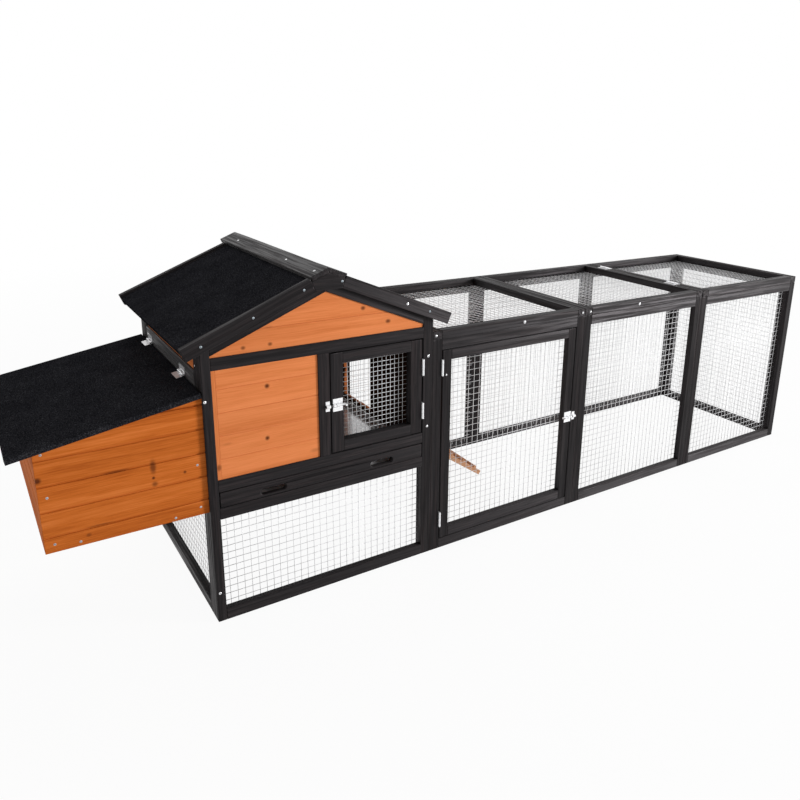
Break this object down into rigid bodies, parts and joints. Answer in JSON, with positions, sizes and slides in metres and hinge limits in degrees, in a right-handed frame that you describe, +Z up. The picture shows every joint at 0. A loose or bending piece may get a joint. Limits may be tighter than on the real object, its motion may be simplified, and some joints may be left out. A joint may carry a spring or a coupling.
{
  "type": "chicken coop",
  "caption": "Wooden hen house on posts with a lidded nest box, mesh-window door, pull-out tray, pop hole with ramp and a long wire-mesh run with a door and a lifting top panel.",
  "frame": {"origin": "on the ground under the middle of the whole coop", "axes": "+X along the coop from the nest box to the far end of the run, +Y from the front to the back, +Z up"},
  "size_m": [2.7, 0.673, 0.87],
  "materials": {
    "black_wood": "black stain, satin",
    "orange_wood": "orange-brown stain, satin",
    "plain_wood": "brown, matt",
    "roofing_felt": "black bitumen felt, matt",
    "welded_mesh": "galvanised",
    "zinc_steel": "bright zinc"
  },
  "bodies": {
    "coop": {"house_corner_posts": "black_wood", "house_front_rails": "black_wood", "house_door_stile": "black_wood", "house_back_rails": "black_wood", "house_side_rails": "black_wood", "nest_hinge_rail": "black_wood", "gable_rafters": "black_wood", "tray_runners": "black_wood", "barge_boards": "black_wood", "ridge_end_plates": "black_wood", "ridge_cap_boards": "black_wood", "nest_corner_battens": "black_wood", "run_door_surround": "black_wood", "run_front_frames": "black_wood", "run_back_frames": "black_wood", "run_top_frames": "black_wood", "run_end_frame": "black_wood", "front_wall_boards": "orange_wood", "back_wall_boards": "orange_wood", "left_wall_boards": "orange_wood", "right_wall_boards": "orange_wood", "gable_boards": "orange_wood", "nest_side_boards": "orange_wood", "nest_end_boards": "orange_wood", "ramp_board": "orange_wood", "ramp_cleats": "orange_wood", "roof_left_deck": "orange_wood", "roof_right_deck": "orange_wood", "nest_floor": "plain_wood", "roof_left_felt": "roofing_felt", "roof_right_felt": "roofing_felt", "house_lower_meshes": "welded_mesh", "run_front_meshes": "welded_mesh", "run_back_meshes": "welded_mesh", "run_top_meshes": "welded_mesh", "run_end_mesh": "welded_mesh", "house_door_fixed_hinges": "zinc_steel", "run_door_fixed_hinges": "zinc_steel", "nest_lid_fixed_hinges": "zinc_steel", "top_lid_fixed_hinges": "zinc_steel", "bolt_keepers": "zinc_steel"},
    "house_door": {"house_door_frame": "black_wood", "house_door_mesh": "welded_mesh", "house_door_hinges": "zinc_steel", "house_bolt_plate": "zinc_steel"},
    "house_door_bolt": {"house_bolt": "zinc_steel"},
    "run_door": {"run_door_frame": "black_wood", "run_door_mesh": "welded_mesh", "run_door_hinges": "zinc_steel", "run_bolt_plate": "zinc_steel"},
    "run_door_bolt": {"run_bolt": "zinc_steel"},
    "nest_lid": {"nest_lid_panel": "plain_wood", "nest_lid_felt": "roofing_felt", "nest_lid_hinges": "zinc_steel"},
    "top_lid": {"top_lid_frame": "black_wood", "top_lid_mesh": "welded_mesh", "top_lid_hinges": "zinc_steel"},
    "droppings_tray": {"tray_front": "black_wood", "tray_pan": "zinc_steel"}
  },
  "joints": [
    {"name": "house_door_swing", "type": "hinge", "parent": "coop", "child": "house_door", "pos_m": [-0.3615, -0.3219, 0.5], "axis": [0, 0, 1], "range_deg": [0, 90]},
    {"name": "house_bolt_slide", "type": "slide", "parent": "house_door", "child": "house_door_bolt", "axis": [-1, 0, 0], "range_m": [0, 0.012]},
    {"name": "run_door_swing", "type": "hinge", "parent": "coop", "child": "run_door", "pos_m": [-0.2985, -0.3219, 0.3], "axis": [0, 0, -1], "range_deg": [0, 90]},
    {"name": "run_bolt_slide", "type": "slide", "parent": "run_door", "child": "run_door_bolt", "axis": [1, 0, 0], "range_m": [0, 0.012]},
    {"name": "nest_lid_lift", "type": "hinge", "parent": "coop", "child": "nest_lid", "pos_m": [-0.9534, -0.0285, 0.6085], "axis": [0, 1, 0], "range_deg": [0, 60]},
    {"name": "top_lid_lift", "type": "hinge", "parent": "coop", "child": "top_lid", "pos_m": [0.7915, -0.0285, 0.6684], "axis": [0, -1, 0], "range_deg": [0, 175]},
    {"name": "tray_slide", "type": "slide", "parent": "coop", "child": "droppings_tray", "axis": [0, -1, 0], "range_m": [0, 0.45]}
  ]
}
